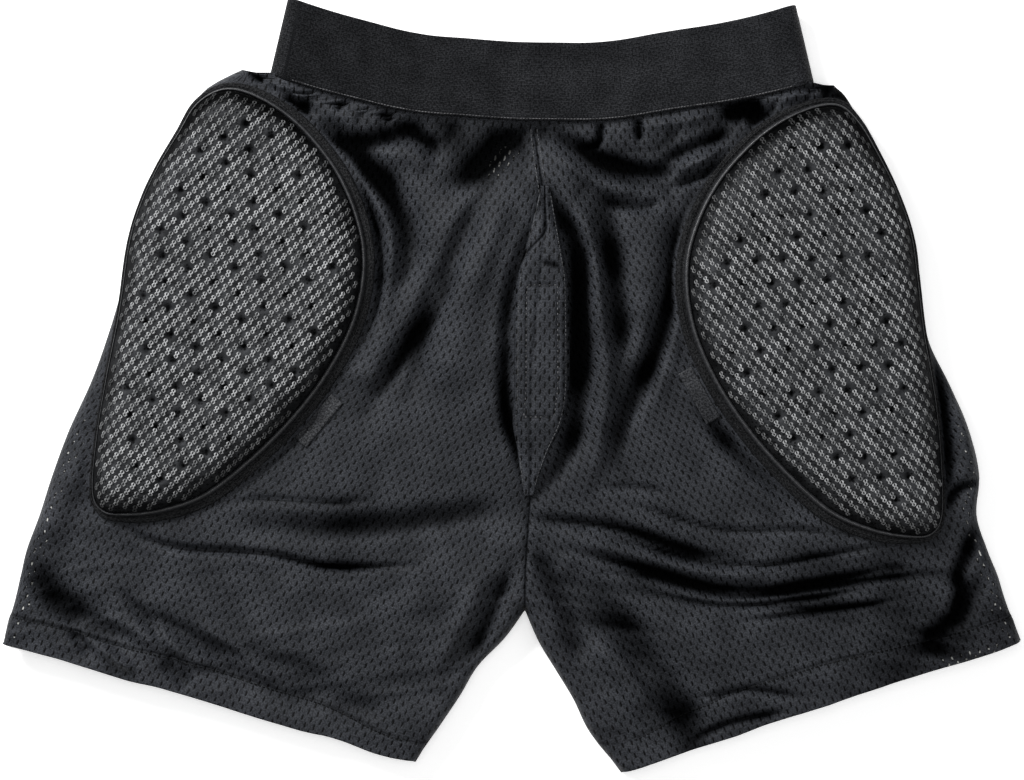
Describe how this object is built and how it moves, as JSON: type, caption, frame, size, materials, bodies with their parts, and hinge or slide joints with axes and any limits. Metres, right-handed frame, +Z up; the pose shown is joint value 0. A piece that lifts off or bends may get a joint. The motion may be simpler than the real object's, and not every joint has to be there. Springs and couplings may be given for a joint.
{
  "type": "tailbone protector shorts",
  "caption": "Padded protective shorts with hip and tailbone foam pads, elastic waistband and front fly, laid flat on their back.",
  "frame": {"origin": "on the floor under the middle of the whole garment as it lies flat on its back", "axes": "+X to the right across the garment as seen from the front, +Y towards the waistband, +Z up through the front"},
  "size_m": [0.613, 0.466, 0.034],
  "materials": {
    "waistband_elastic": "matte",
    "mesh_cloth": "matte",
    "pad_mesh": "matte",
    "binding_tape": "satin",
    "label_satin": "satin"
  },
  "bodies": {
    "root": {"waistband": "waistband_elastic", "left_front_panel": "mesh_cloth", "right_front_panel": "mesh_cloth", "left_back_panel": "mesh_cloth", "right_back_panel": "mesh_cloth", "fly_placket": "mesh_cloth", "left_hip_pad": "pad_mesh", "right_hip_pad": "pad_mesh", "tailbone_pad": "pad_mesh", "left_hip_pad_binding": "binding_tape", "right_hip_pad_binding": "binding_tape", "tailbone_pad_binding": "binding_tape", "left_label": "label_satin", "right_label": "label_satin"}
  },
  "joints": []
}
